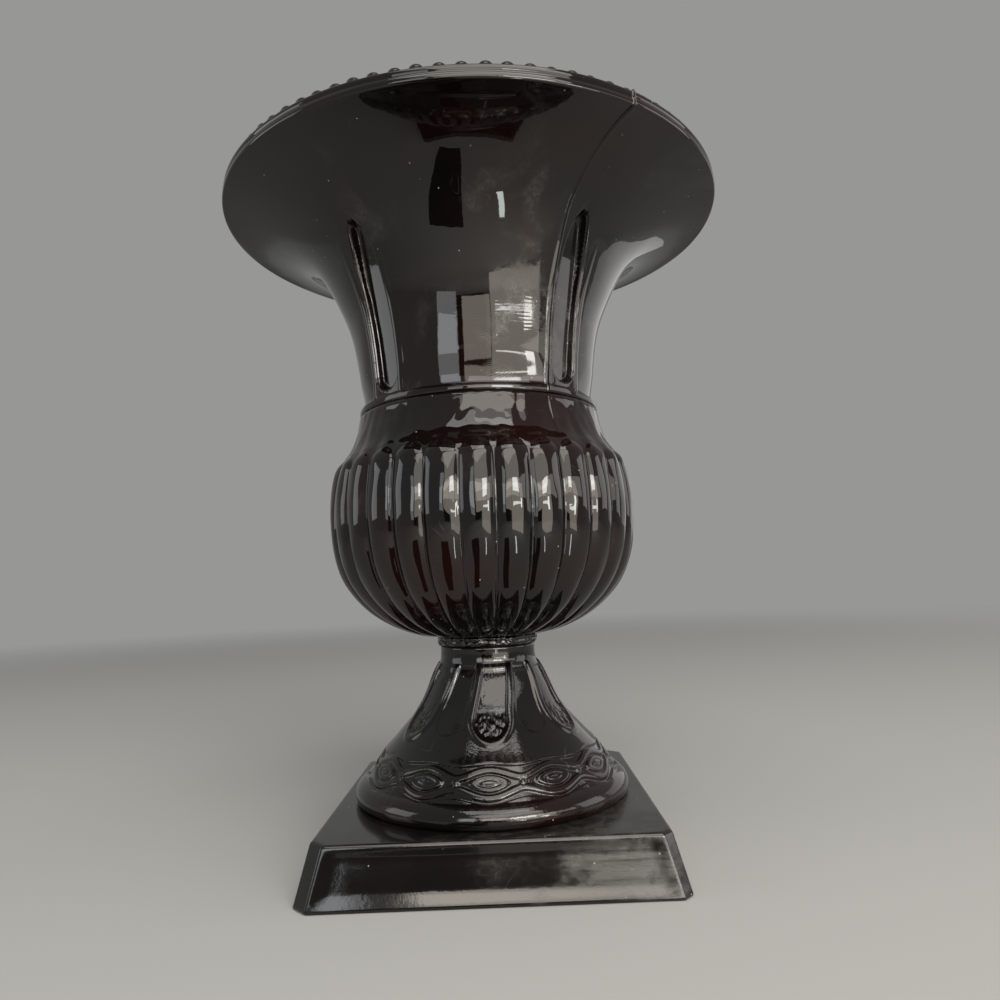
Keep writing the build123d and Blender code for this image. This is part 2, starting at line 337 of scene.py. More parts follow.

# A smear at one place, also used on the plinth for painted sheen and highlights: an uneven soft oval with a
# mottled grain
smearAndSheen, given, result = newGroup(
    "smearAndSheen",
    [("Vector", vectorKind, None), ("Middle", vectorKind, None), ("Squeeze", vectorKind, None),
     ("Streak", vectorKind, (1.0, 1.0, 1.0)), ("Grain", floatKind, 1.0)],
    [("Mask", floatKind)])
offset = vectorMath(smearAndSheen, "SUBTRACT", given["Vector"], given["Middle"])
apart = vectorMath(smearAndSheen, "LENGTH", vectorMath(smearAndSheen, "MULTIPLY", offset, given["Squeeze"]))
edge = noise(smearAndSheen, given["Vector"], scale=120.0, detail=3.0, roughness=0.6)
edge = ramped(smearAndSheen, edge, low=0.25, high=0.75, toLow=-0.5, toHigh=0.5)
oval = falling(smearAndSheen, math(smearAndSheen, "ADD", apart, edge), low=0.0, high=1.0)
drawn = vectorMath(smearAndSheen, "MULTIPLY", given["Vector"], given["Streak"])
mottled = noise(smearAndSheen, drawn, scale=620.0, detail=4.0, roughness=0.7)
mottled = falling(smearAndSheen, mottled, low=0.34, high=0.62)
kept = math(smearAndSheen, "SUBTRACT", 1.0, math(smearAndSheen, "MULTIPLY", mottled, given["Grain"]))
smearAndSheen.links.new(math(smearAndSheen, "MULTIPLY", oval, kept), result["Mask"])

# Hairline scratches and lint: thin contour lines of two slow, stretched noises, kept in patches
hairlines, given, result = newGroup(
    "hairlines",
    [("Vector", vectorKind, None), ("Scale", floatKind, 60.0), ("Amount", floatKind, 1.0)],
    [("Mask", floatKind)])
lineMasks = []
for turn, squeeze, level in (((0.2, 0.1, 0.5), (1.0, 1.0, 2.6), 0.47),
                             ((0.4, -0.5, 0.1), (2.4, 1.0, 1.0), 0.55)):
    spread = stretched(hairlines, given["Vector"], squeeze, turn)
    field = noise(hairlines, spread, given["Scale"], detail=1.0, roughness=0.4, distortion=0.6)
    away = math(hairlines, "ABSOLUTE", math(hairlines, "SUBTRACT", field, level))
    lineMasks.append(falling(hairlines, away, low=0.0, high=0.0035))
broken = ramped(hairlines, noise(hairlines, given["Vector"], scale=70.0), low=0.60, high=0.66)
lines = math(hairlines, "MULTIPLY", math(hairlines, "MAXIMUM", *lineMasks), broken)
hairlines.links.new(math(hairlines, "MULTIPLY", lines, given["Amount"], clamp=True), result["Mask"])

# A finger mark: curved ridges of even pitch in a soft oval round its middle
fingerMark, given, result = newGroup(
    "fingerMark",
    [("Vector", vectorKind, None), ("Middle", vectorKind, None), ("Pitch", floatKind, 0.00055)],
    [("Mask", floatKind)])
offset = vectorMath(fingerMark, "SUBTRACT", given["Vector"], given["Middle"])
apart = vectorMath(fingerMark, "LENGTH", stretched(fingerMark, offset, (1.0, 1.0, 1.4)))
oval = falling(fingerMark, apart, low=0.0030, high=0.0062, start=0.7)
lowered = vectorMath(fingerMark, "ADD", offset, (0.003, 0.0, -0.0085))
shiver = math(fingerMark, "MULTIPLY", noise(fingerMark, given["Vector"], scale=300.0, detail=1.0), 0.0009)
bent = math(fingerMark, "ADD", vectorMath(fingerMark, "LENGTH", lowered), shiver)
wave = ramped(fingerMark, ripple(fingerMark, bent, given["Pitch"]), low=-0.3, high=0.5)
worn = noise(fingerMark, given["Vector"], scale=240.0, detail=3.0, roughness=0.6)
ridges = math(fingerMark, "MULTIPLY", wave, ramped(fingerMark, worn, low=0.36, high=0.6))
fingerMark.links.new(math(fingerMark, "MULTIPLY", ridges, oval), result["Mask"])

# Specks of dust: small dots in some of the cells of a fine pattern
dustSpecks, given, result = newGroup(
    "dustSpecks", [("Vector", vectorKind, None), ("Amount", floatKind, 1.0)], [("Mask", floatKind)])
cells = addNode(dustSpecks, "ShaderNodeTexVoronoi", {"Vector": given["Vector"], "Scale": 420.0})
dot = falling(dustSpecks, cells.outputs["Distance"], low=0.06, high=0.11)
chosen = addNode(dustSpecks, "ShaderNodeSeparateColor", {"Color": cells.outputs["Color"]})
chosen = ramped(dustSpecks, chosen.outputs["Red"], low=0.9, high=0.93)
specks = math(dustSpecks, "MULTIPLY", dot, chosen)
dustSpecks.links.new(math(dustSpecks, "MULTIPLY", specks, given["Amount"], clamp=True), result["Mask"])

# Chill rings: level ripples of even pitch, in a belt of heights and only in some patches
chillRings, given, result = newGroup(
    "chillRings",
    [("Vector", vectorKind, None), ("Middle", floatKind, 0.158), ("Reach", floatKind, 0.0065),
     ("Pitch", floatKind, 0.00105)],
    [("Height", floatKind)])
level = addNode(chillRings, "ShaderNodeSeparateXYZ", {0: given["Vector"]}).outputs["Z"]
wander = math(chillRings, "MULTIPLY", noise(chillRings, given["Vector"], scale=60.0), 0.0030)
wave = ripple(chillRings, math(chillRings, "ADD", level, wander), given["Pitch"])
away = math(chillRings, "ABSOLUTE", math(chillRings, "SUBTRACT", level, given["Middle"]))
belt = falling(chillRings, math(chillRings, "DIVIDE", away, given["Reach"]), low=0.35, high=1.0)
patches = noise(chillRings, given["Vector"], scale=110.0, detail=3.0, roughness=0.6)
rings = math(chillRings, "MULTIPLY", wave, belt)
rings = math(chillRings, "MULTIPLY", rings, ramped(chillRings, patches, low=0.42, high=0.62))
chillRings.links.new(rings, result["Height"])
print("made the shader groups")


# Black glass. The settings name its colours, its shine and how much of each effect it has.
def blackGlass(name, look):
    material = bpy.data.materials.new(name)
    material.use_nodes = True
    tree = material.node_tree
    shader = tree.nodes["Principled BSDF"]
    spot = addNode(tree, "ShaderNodeTexCoord").outputs["Object"]
    marks = groupNode(tree, handMarks, Vector=spot, Amount=look["marks"])
    for middle in look["fingers"]:
        marks = math(tree, "MAXIMUM", marks, groupNode(tree, fingerMark, Vector=spot, Middle=middle))
    for middle, squeeze, streak, grainAmount in look["smearsAndSheen"]:
        marks = math(tree, "MAXIMUM", marks, groupNode(
            tree, smearAndSheen, Vector=spot, Middle=middle, Squeeze=squeeze, Streak=streak, Grain=grainAmount))
    scratches = groupNode(tree, hairlines, Vector=spot, Scale=look["lineScale"], Amount=look["lines"])
    dust = groupNode(tree, dustSpecks, Vector=spot, Amount=look["dust"])

    warm = ramped(tree, noise(tree, spot, look["warmScale"]), *look["warmRange"])
    # Grease, scratches and the plinth's painted sheen and highlights lighten the colour
    hazeAndSheen = math(tree, "MAXIMUM", math(tree, "MULTIPLY", marks, look["haze"]),
                math(tree, "MULTIPLY", scratches, look["lineHaze"]))
    colour = mixed(tree, warm, look["colour"], look["warmColour"])
    colour = mixed(tree, hazeAndSheen, colour, look["greaseAndSheenColour"])
    colour = mixed(tree, dust, colour, look["dustColour"])
    tree.links.new(colour, shader.inputs["Base Color"])

    cloud = noise(tree, spot, look["cloudScale"], detail=4.0, roughness=0.6)
    rough = ramped(tree, cloud, *look["cloudRange"], look["shineLow"], look["shineHigh"])
    rough = math(tree, "ADD", rough, math(tree, "MULTIPLY", marks, look["marksRough"]))
    rough = math(tree, "ADD", rough, math(tree, "MULTIPLY", scratches, look["linesRough"]))
    rough = math(tree, "ADD", rough, math(tree, "MULTIPLY", dust, look["dustRough"]), clamp=True)
    tree.links.new(rough, shader.inputs["Roughness"])

    skin = groupNode(tree, meltSkin, Vector=spot, Swell=look["swell"], Peel=look["peel"],
                     PeelScale=look["peelScale"])
    height = math(tree, "SUBTRACT", skin, math(tree, "MULTIPLY", scratches, look["lineDepth"]))
    if look["rings"]:
        chill = groupNode(tree, chillRings, Vector=spot)
        height = math(tree, "ADD", height, math(tree, "MULTIPLY", chill, look["rings"]))
    bump = addNode(tree, "ShaderNodeBump", {"Height": height, "Strength": 1.0, "Distance": metresPerMm})
    tree.links.new(bump.outputs[0], shader.inputs["Normal"])
    shader.inputs["IOR"].default_value = look["refraction"]
    return material


# A finger mark is given by its middle (m). A smear, which on the plinth also paints sheen and highlights, is
# given by its middle (m), how far it is squeezed (1/m), how its grain is drawn out, and how much grain it
# has.
glassLook = dict(
    colour=(0.0022, 0.0018, 0.0018, 1), warmColour=(0.0075, 0.0022, 0.0018, 1),
    warmScale=26.0, warmRange=(0.4, 0.7),
    # The grease colour is also the colour of the painted sheen and highlights on the plinth
    greaseAndSheenColour=(0.10, 0.095, 0.088, 1), dustColour=(0.32, 0.31, 0.29, 1),
    shineLow=0.012, shineHigh=0.045, cloudScale=48.0, cloudRange=(0.3, 0.75), refraction=1.52,
    marks=1.0, haze=0.30, marksRough=0.20, fingers=(), smearsAndSheen=(),
    lines=0.4, lineScale=38.0, lineHaze=0.55, linesRough=0.25, lineDepth=0.004, dust=0.7, dustRough=0.5,
    swell=0.14, peel=0.006, peelScale=420.0, rings=0.0)
bellGlass = blackGlass("bellGlass", dict(
    glassLook, rings=0.0042,
    fingers=((0.0068, -0.0365, 0.1405), (0.0060, -0.0385, 0.1515)),
    smearsAndSheen=(((0.0165, -0.0365, 0.1640), (80.0, 30.0, 72.0), (1.0, 1.0, 0.8), 0.85),
            ((0.0240, -0.0330, 0.1500), (190.0, 30.0, 90.0), (1.0, 1.0, 0.8), 0.8))))
bowlGlass = blackGlass("bowlGlass", dict(glassLook, swell=0.09, peel=0.010, marks=0.5))
footGlass = blackGlass("footGlass", dict(
    glassLook, swell=0.05, peel=0.022, peelScale=1500.0, marks=0.4, lines=0.5,
    shineLow=0.03, shineHigh=0.07))
plinthGlass = blackGlass("plinthGlass", dict(
    glassLook, colour=(0.005, 0.0045, 0.0045, 1), warmColour=(0.008, 0.006, 0.0055, 1),
    shineLow=0.06, shineHigh=0.13, marks=0.35,
    lines=0.1, lineScale=60.0, lineHaze=0.45, linesRough=0.3, lineDepth=0.01,
    swell=0.06, peel=0.010, peelScale=900.0,
    # The plinth's smears are partly scuffs and grease and partly painted light: a painted blurred reflection
    # of the light over the right of the front face, and painted highlights along its top and bottom front
    # edges
    smearsAndSheen=(((0.0330, -0.0490, 0.0070), (34.0, 20.0, 100.0), (0.10, 1.0, 1.3), 0.6),
            ((0.0440, -0.0490, 0.0025), (55.0, 20.0, 300.0), (0.5, 1.0, 1.0), 0.8),
            ((0.0230, -0.0474, 0.0150), (24.0, 30.0, 900.0), (0.5, 1.0, 1.0), 0.9),
            ((0.0360, -0.0200, 0.0153), (50.0, 50.0, 40.0), (1.0, 0.3, 1.0), 0.5))))
print("made the materials")


# Bell and neck. A spacing is its first value and its changes as (from, to, change): over the
# height for rows, and over the degrees from a channel for columns.
bell = dict(
    columns=560, columnSpacing=(0.42, ((7.6, 8.0, 0.18), (11.0, 15.0, 0.75))),
    edgeSpacing=0.16, edgeMiddle=6.4, edgeReach=1.3, seamSpacing=0.09, seamReach=0.9,
    rowSpacing=(0.42, ((145.5, 150.0, 0.95), (173.0, 177.5, -0.88), (189.5, 192.5, 1.2))),
    outsideRows=104, lipRows=32, lipRowsWithoutSeam=11, insideRows=26,
    spigotRadius=36.0, spigotLow=131.8, boreRadius=32.5, bevel=0.3, shoulder=0.1,
    baseZ=134.8, ringRadius=39.2, edgeChamfer=0.4,
    outside=[(39.2, 135.2), (39.2, 136.4), (39.25, 138.6), (39.35, 141.6), (39.75, 146.5), (40.4, 151.6),
             (41.2, 157.0), (42.3, 162.5), (43.7, 167.4), (45.5, 172.2), (47.4, 177.0), (49.8, 182.0),
             (52.8, 186.6), (57.0, 190.6), (62.3, 194.2), (68.0, 196.9), (73.5, 198.7), (77.6, 199.5),
             (80.0, 199.72)],
    lip=[(80.0, 199.72), (80.45, 199.78), (80.68, 200.1), (80.72, 200.7), (80.62, 201.3), (80.35, 201.66),
         (80.3, 201.85), (80.45, 202.2), (80.52, 202.8), (80.38, 203.4), (79.95, 203.7), (79.0, 203.75),
         (77.4, 203.65), (76.1, 203.3)],
    inside=[(76.1, 203.3), (72.4, 202.2), (68.0, 200.95), (61.0, 198.8), (53.4, 195.9), (47.6, 192.6),
            (44.0, 189.2), (41.7, 185.4), (39.6, 180.0), (37.6, 173.2), (35.8, 165.8), (33.9, 158.6),
            (32.8, 152.4), (32.5, 147.0), (32.5, 141.0), (32.5, 136.0)],
    panels=4, panelArc=47.0, panelFlat=4.0, panelFlatFade=(165.0, 190.0), panelDepth=1.2,
    panelDepthLow=0.7, panelDepthFade=(138.0, 147.0), panelLow=136.9, panelEase=0.5,
    panelHigh=(158.0, 189.0), panelSoft=0.16, leastSlope=0.05,
    ribMiddle=8.6, ribHalf=1.5, ribHeight=0.30, ribEase=0.7, ribFade=(165.0, 186.0),
    channelMiddle=42.5, channelMiddleHigh=41.0, channelLeanLow=160.0, channelHalfMm=5.25,
    channelLow=138.4, channelArch=171.0, channelHigh=188.6,
    channelDepth=2.35, channelDepthHigh=4.2, channelDeepens=(160.0, 188.0),
    channelStep=0.38, channelWallShares=(1.0, 0.95, 0.92, 0.79), channelHollow=0.08,
    channelSoft=0.07, channelSoftens=(158.0, 180.0),
    seams=(33.5, 213.5), seamHeight=0.28, seamHalf=0.36, seamShift=0.5, seamFade=26.0, seamEase=0.2,
    seamWander=0.12, seamWanderLength=9.0, seamShiver=0.05, seamShiverLength=2.3,
    seamThinning=0.25, seamThinningLength=3.7,
    rimRise=0.42, rimWander=0.25, rimWaves=(2, 5, 9, 14), rimClimb=(-34.0, -12.0), rimDrop=(-0.2, 0.5),
    rimHeights=(202.0, 203.4), rimRadii=(78.5, 79.8),
    waviness=0.065, skinTurns=(2, 14), skinLengths=(24.0, 90.0), skinWaves=12)


# Depth of the channels below the envelope: a slot with a round lower end and a long arch at
# the top, given by its share t of the half width, that goes down in two steps, so that its
# edge shows as a nested pair of lines; its floor is hollowed by a hair
def channelDepth(radius, height, fromChannel, s):
    lean = smoothStep(s["channelLeanLow"], s["channelHigh"], height)
    lean = (s["channelMiddle"] - s["channelMiddleHigh"]) * lean
    half = s["channelHalfMm"]
    below = np.clip(s["channelLow"] + half - height, 0, None) / half
    above = np.clip(height - s["channelArch"], 0, None) / (s["channelHigh"] - s["channelArch"])
    t = np.hypot(radius * np.radians(fromChannel + lean) / half, below + above)
    deeper = s["channelDepthHigh"] - s["channelDepth"]
    full = s["channelDepth"] + deeper * smoothStep(*s["channelDeepens"], height)
    edge, ledge, wall, bed = s["channelWallShares"]
    bed = bed - s["channelSoft"] * smoothStep(*s["channelSoftens"], height)
    return (s["channelStep"] * (1 - smoothStep(ledge, edge, t))
            + (full - s["channelStep"]) * (1 - smoothStep(bed, wall, t))
            + s["channelHollow"] * np.clip(1 - (t / bed) ** 2, 0, 1))


# Degrees from the nearest channel; the channels lie a little nearer to the front and the back
# than to the sides. It grows away from the front or the back on all four.
def channelOffset(azimuth, s):
    return np.abs(angleFrom(azimuth, pitch=180)) - s["channelMiddle"]


# Depth of everything pressed into the neck: four panels, each an arc about an axis behind the
# vase's, a rib at each side of a channel, and the channel between them
def neckDepth(radius, height, azimuth, s):
    fromChannel = channelOffset(azimuth, s)
    low, below = s["panelLow"] - s["panelEase"], 1 - smoothStep(*s["panelHigh"], height)
    fade = smoothStep(low, s["panelLow"] + s["panelEase"], height) * below
    deeper = s["panelDepthLow"] * (1 - smoothStep(*s["panelDepthFade"], height))
    panelRadius = radius - (s["panelDepth"] + deeper) * fade
    arc = np.maximum(s["panelArc"], radius + s["panelFlat"] * (1 - smoothStep(*s["panelFlatFade"], height)))
    behind = arc - panelRadius
    angle = np.radians(angleFrom(azimuth, pitch=360 / s["panels"]))
    panel = -behind * np.cos(angle) + np.sqrt(arc**2 - (behind * np.sin(angle)) ** 2)
    below = 1 - smoothStep(*s["ribFade"], height)
    ribFade = smoothStep(low, s["panelLow"] + s["ribEase"], height) * below
    ribs = ridge(np.abs(fromChannel) - s["ribMiddle"], s["ribHalf"])
    base = radius - s["ribHeight"] * ribFade
    carved = softMin(base, np.where(fade > 0, panel, radius), s["panelSoft"] * fade + tiny)
    carved = np.where(fade > 0, carved, radius) + s["ribHeight"] * ribFade * ribs
    return radius - carved + channelDepth(radius, height, fromChannel, s)


# Mould seams: a thin ridge, the bell curve exp(-(across / half)^2), whose line wanders and
# whose height varies, and a small step that fades away to one side of it
def seamHeight(radius, height, azimuth, s):
    total = np.zeros_like(radius * azimuth)
    for seam in s["seams"]:
        wander = (s["seamWander"] * np.sin(height / s["seamWanderLength"] + seam)
                  + s["seamShiver"] * np.sin(height / s["seamShiverLength"]))
        away = angleFrom(azimuth, seam + wander)
        across = radius * np.radians(away)
        thinning = s["seamThinning"] * np.sin(height / s["seamThinningLength"] + seam)
        strength = 1 - s["seamThinning"] + thinning
        total += s["seamHeight"] * strength * np.exp(-(across / s["seamHalf"]) ** 2)
        faded = np.clip(1 - away / s["seamFade"], 0, 1) ** 2 * (away < s["seamFade"])
        total += s["seamShift"] * faded * smoothStep(-s["seamEase"], s["seamEase"], across)
    return total


# The rim's top edge climbs towards each seam, drops at it, and wanders a little all round
def rimUneven(azimuth, s):
    total = s["rimWander"] * unevenness(azimuth, s["rimWaves"])
    for seam in s["seams"]:
        away = angleFrom(azimuth, seam)
        total = total + smoothStep(*s["rimClimb"], away) * (1 - smoothStep(*s["rimDrop"], away))
    return total


# The wall's closed profile runs under the spigot, up the outside, over the lip and down the
# bore; the outside is pushed in by what is pressed into it and out by the seams
def makeBell(s):
    low, bevel = s["spigotLow"], s["bevel"]
    spigot = step((s["boreRadius"] + bevel, low), s["spigotRadius"],
                  (s["ringRadius"] - s["edgeChamfer"], s["baseZ"]),
                  counts=(3, 3, 4), gaps=(bevel, bevel, 0.0, s["shoulder"]))
    outside = respaced(softCurve(s["outside"], fineCount), s["outsideRows"], s["rowSpacing"])
    lip, inside = softCurve(s["lip"], s["lipRows"]), softCurve(s["inside"], s["insideRows"])
    bore = straight(s["inside"][-1], (s["boreRadius"], low + bevel), plainRows)
    profile = joined(spigot, outside, lip, inside, bore)
    neckTop = len(spigot) + len(outside)
    onNeck = rowMask(profile, len(spigot), neckTop)
    onOutside = rowMask(profile, len(spigot), neckTop + len(lip) - s["lipRowsWithoutSeam"])

    def spacing(a):
        near = np.abs(channelOffset(a, s))
        atEdge = np.abs(near - s["edgeMiddle"]) < s["edgeReach"]
        atSeam = np.min([np.abs(angleFrom(a, seam)) for seam in s["seams"]], axis=0) < s["seamReach"]
        plain = np.where(atEdge, s["edgeSpacing"], smoothSteps(*s["columnSpacing"], near))
        return np.where(atSeam, s["seamSpacing"], plain)

    azimuth = columnsOf(spacing, s["columns"])
    radius, height = profile[:, :1], profile[:, 1:]
    slope = np.clip(profileNormals(profile)[:, :1], s["leastSlope"], 1)
    depth = np.where(onNeck, neckDepth(radius, height, azimuth, s) * slope, 0)
    raised = np.where(onOutside, seamHeight(radius, height, azimuth, s), 0) - depth
    raised = raised + np.where(onNeck, wavySkin(azimuth, height, s), 0)
    onRim = smoothStep(*s["rimHeights"], height) * smoothStep(*s["rimRadii"], radius)
    lift = s["rimRise"] * onRim * rimUneven(azimuth, s)
    return gridMesh("bellAndNeck", pressed(profile, raised, azimuth, lift), poles=False)


place(makeBell(bell), bellGlass, "black_glass", "bell_and_neck")


# Beads along the lip
beads = dict(count=90, ringRadius=78.5, turn=0.9, lipTop=203.75, columns=18, acrossShare=0.74,
             turnError=0.22, sizeLoss=0.07, inset=0.15,
             profile=[(0.0, 1.7), (0.5, 1.66), (1.02, 1.5), (1.48, 1.22), (1.82, 0.84), (2.04, 0.45),
                      (2.18, 0.1), (2.34, -0.08), (2.5, -0.2), (1.7, -0.7), (0.0, -0.9)])


# Each bead is a dome with a small fillet at its foot, a little narrower across the lip than
# along it; size and place vary a little from bead to bead
def makeBeads(s):
    count = s["count"]
    profile = np.array(s["profile"])[::-1]
    unit = revolved(profile[:, :1], profile[:, 1:], evenColumns(s["columns"]))
    onAxis = unit[[0, -1], 0] * (0, 0, 1)
    unitPoints = np.vstack([unit[1:-1].reshape(-1, 3), onAxis])
    turns = s["turn"] + np.arange(count) * 360 / count + rng.uniform(-s["turnError"], s["turnError"], count)
    size = 1 - rng.uniform(0, s["sizeLoss"], count)
    centre = revolved(s["ringRadius"] - rng.uniform(0, s["inset"], count), s["lipTop"], turns)
    outward = revolved(1.0, 0.0, turns)[:, None]
    body = unitPoints[None] * size[:, None, None]
    body = body - (1 - s["acrossShare"]) * (body * outward).sum(-1, keepdims=True) * outward
    body = (body + centre[:, None]).reshape(-1, 3)
    quads, triangles = domeFaces(len(profile) - 2, s["columns"])
    shift = (np.arange(count) * len(unitPoints))[:, None, None]
    return meshObject("lipBeads", body, (quads[None] + shift).reshape(-1, 4),
                      (triangles[None] + shift).reshape(-1, 3))


place(makeBeads(beads), bellGlass, "black_glass", "bell_and_neck")


# Fluted bowl. The column spacing goes by the degrees from a groove.
bowl = dict(
    columns=870, columnSpacing=(0.19, ((1.2, 1.9, 0.41),)), crestRows=72, insideRows=20,
    rowSpacing=(1.2, ((66.0, 74.0, 0.8), (110.5, 113.0, -1.42), (122.0, 124.5, 0.62))),
    baseZ=64.2, topZ=134.8, topRadius=39.2, edgeChamfer=0.4, bevel=0.2,
    socketRadius=6.1, socketDepth=1.3, bottomRadius=19.0, bottomChamfer=0.6,
    rebateRadius=36.1, rebateZ=131.7, ledgeRadius=33.6,
    crest=[(19.0, 64.25), (22.4, 64.7), (26.4, 66.0), (30.9, 68.0), (34.2, 70.0), (37.2, 72.2), (40.2, 75.0),
           (42.8, 78.0), (45.1, 81.4), (46.9, 85.4), (48.2, 90.0), (49.0, 95.4), (49.4, 101.4), (49.2, 107.0),
           (48.6, 111.8), (47.9, 115.2), (47.0, 118.2), (45.6, 120.6), (44.0, 122.3), (42.6, 124.0),
           (41.4, 126.0), (40.5, 128.2), (39.9, 130.2), (39.55, 132.0), (39.3, 133.4), (39.2, 134.4)],
    inside=[(33.6, 131.7), (36.0, 129.0), (38.6, 124.8), (41.2, 119.6), (43.2, 113.4), (44.4, 106.0),
            (44.4, 99.0), (43.4, 93.6), (41.6, 88.6), (38.6, 83.8), (34.4, 79.2), (29.0, 75.2),
            (22.6, 72.0), (15.0, 70.75)],
    floorZ=70.7, floorRadius=12.0,
    flutes=30, fluteDepth=1.95, depthByHalf=0.40, depthAtTop=1.5, depthChange=(110.0, 119.0),
    startsUnder=100.0, fluteStart=0.3, fluteFull=5.0, roundness=0.965, grooveShare=0.78, grooveSoft=0.22,
    archMiddle=115.6, archReach=5.2, archFade=(119.4, 128.5),
    pitchWander=0.28, pitchWaves=(3, 7, 11, 16), depthWander=0.10, depthWaves=(2, 5, 9, 13),
    scallop=0.3, scallopRise=(119.0, 121.4), scallopTop=121.2, scallopReach=4.2,
    waviness=0.05, skinTurns=(8, 64), skinLengths=(9.0, 40.0), skinWaves=14,
    seams=(33.5, 213.5), seamLow=123.5, seamHeight=0.22, seamHalf=0.45)


# Depth below the crest line of the flutes, from the share t of the half pitch: a convex arc
# across with a rounded groove at its edge, which at the top is carried round a half circle, so
# that each flute ends in an arch; above the arches the ground runs out into the cove, and it
# swells a little over each flute
def fluteShape(radius, height, azimuth, s):
    half = 180 / s["flutes"]
    wandered = azimuth + s["pitchWander"] * unevenness(azimuth, s["pitchWaves"])
    across = angleFrom(wandered, pitch=2 * half) / half
    over = np.clip(height - s["archMiddle"], 0, None) / s["archReach"]
    t = np.clip(np.hypot(across, over), 0, 1)
    atEdge = np.sqrt(1 - s["roundness"] ** 2)
    lobe = (np.sqrt(1 - (s["roundness"] * t) ** 2) - atEdge) / (1 - atEdge)
    full = np.minimum(s["fluteDepth"], s["depthByHalf"] * radius * np.radians(half))
    full = full + (s["depthAtTop"] - full) * smoothStep(*s["depthChange"], height)
    start = smoothStep(s["bottomRadius"] + s["fluteStart"], s["bottomRadius"] + s["fluteFull"], radius)
    full = full * np.where(height < s["startsUnder"], start, 1)
    full = full * (1 + s["depthWander"] * unevenness(azimuth, s["depthWaves"]))
    sunk = softMin(1 - lobe, s["grooveShare"], s["grooveSoft"])
    onFlutes = 1 - smoothStep(*s["archFade"], height)
    wave = 0.5 + 0.5 * np.cos(np.radians(azimuth * s["flutes"]))
    runOut = np.exp(-np.clip(height - s["scallopTop"], 0, None) / s["scallopReach"])
    rise = smoothStep(*s["scallopRise"], height) * runOut
    return full * sunk * onFlutes - s["scallop"] * wave * rise - wavySkin(azimuth, height, s)


# The closed profile runs out from the socket, up the crest line of the flutes, down into the
# rebate and down the inside to the floor
def makeBowl(s):
    bevel = s["bevel"]
    under = step((0, s["baseZ"] + s["socketDepth"]), s["socketRadius"],
                 (s["bottomRadius"] - s["bottomChamfer"], s["baseZ"]), counts=(3, 3, 4))
    crest = respaced(softCurve(s["crest"], fineCount), s["crestRows"], s["rowSpacing"])
    rebate = step((s["topRadius"] - s["edgeChamfer"], s["topZ"]), s["rebateRadius"],
                  (s["ledgeRadius"] + bevel, s["rebateZ"]), counts=(3, 2, 2), gaps=4 * (bevel,))
    floor = straight((s["floorRadius"], s["floorZ"]), (0, s["floorZ"]), plainRows)
    profile = joined(under, crest, rebate, softCurve(s["inside"], s["insideRows"]), floor)
    pitch = 360 / s["flutes"]

    def spacing(a):
        return smoothSteps(*s["columnSpacing"], np.abs(angleFrom(a, pitch / 2, pitch)))

    azimuth = columnsOf(spacing, s["columns"])
    radius, height = profile[:, :1], profile[:, 1:]
    onCrest = rowMask(profile, len(under), len(under) + len(crest))
    raised = -np.where(onCrest, fluteShape(radius, height, azimuth, s), 0)
    for seam in s["seams"]:
        across = radius * np.radians(angleFrom(azimuth, seam))
        line = s["seamHeight"] * np.exp(-(across / s["seamHalf"]) ** 2)
        raised = raised + np.where(onCrest & (height > s["seamLow"]), line, 0)
    return gridMesh("flutedBowl", pressed(profile, raised, azimuth), poles=True)


place(makeBowl(bowl), bowlGlass, "black_glass", "fluted_bowl")


# Stem wafer. What wanders starts between two radii each.
wafer = dict(
    columns=288, lowZ=60.9, highZ=64.2, bossRadius=6.0, bossHeight=1.2, rimRadius=15.8,
    faceLow=14.4, faceHigh=13.6, highGaps=(0.2, 0.1, 0.2, 0.2),
    edge=[(14.6, 60.9), (15.4, 61.0), (15.8, 61.5), (15.85, 62.2), (15.6, 62.7), (15.85, 63.2), (15.75, 63.8),
          (15.3, 64.2), (14.4, 64.2)], edgeRows=26,
    waves=(3, 5, 8, 13, 17, 23), uneven=0.36, unevenStart=(14.5, 15.5), lift=0.26, liftStart=(14.9, 15.6),
    lumps=90, lumpRadius=0.85, lumpSizes=(0.6, 1.4), lumpHeight=0.4, lumpPower=0.6, lumpStart=(15.2, 15.7))


# Lumps left by the hot join: the highest of small domes at seeded places round the rim
def lumpy(azimuth, height, s):
    turn, level = rng.uniform(0, 360, s["lumps"]), rng.uniform(s["lowZ"], s["highZ"], s["lumps"])
    size = s["lumpRadius"] * rng.uniform(*s["lumpSizes"], s["lumps"])
    across = s["rimRadius"] * np.radians(angleFrom(azimuth[..., None], turn))
    apart = np.hypot(across, height[..., None] - level) / size
    return (s["lumpHeight"] * ridge(apart, 1.0, s["lumpPower"])).max(-1)


# A disc whose rim was squeezed while soft: its edge wanders in and out and a little up and down
def makeWafer(s):
    low, high = s["lowZ"], s["highZ"]
    profile = joined(
        step((0, low - s["bossHeight"]), s["bossRadius"], (s["faceLow"], low), counts=(3, 2, 3)),
        softCurve(s["edge"], s["edgeRows"]),
        step((s["faceHigh"], high), s["bossRadius"], (0, high + s["bossHeight"]),
             counts=(3, 2, 3), gaps=s["highGaps"]))
    azimuth = evenColumns(s["columns"])
    radius, height = profile[:, :1], profile[:, 1:]
    inOut = s["uneven"] * unevenness(azimuth, s["waves"]) * smoothStep(*s["unevenStart"], radius)
    upDown = s["lift"] * unevenness(azimuth, s["waves"]) * smoothStep(*s["liftStart"], radius)
    inOut = inOut + lumpy(azimuth, height, s) * smoothStep(*s["lumpStart"], radius)
    return gridMesh("stemWafer", revolved(radius + inOut, height + upDown, azimuth), poles=True)


place(makeWafer(wafer), bowlGlass, "black_glass", "stem_wafer")


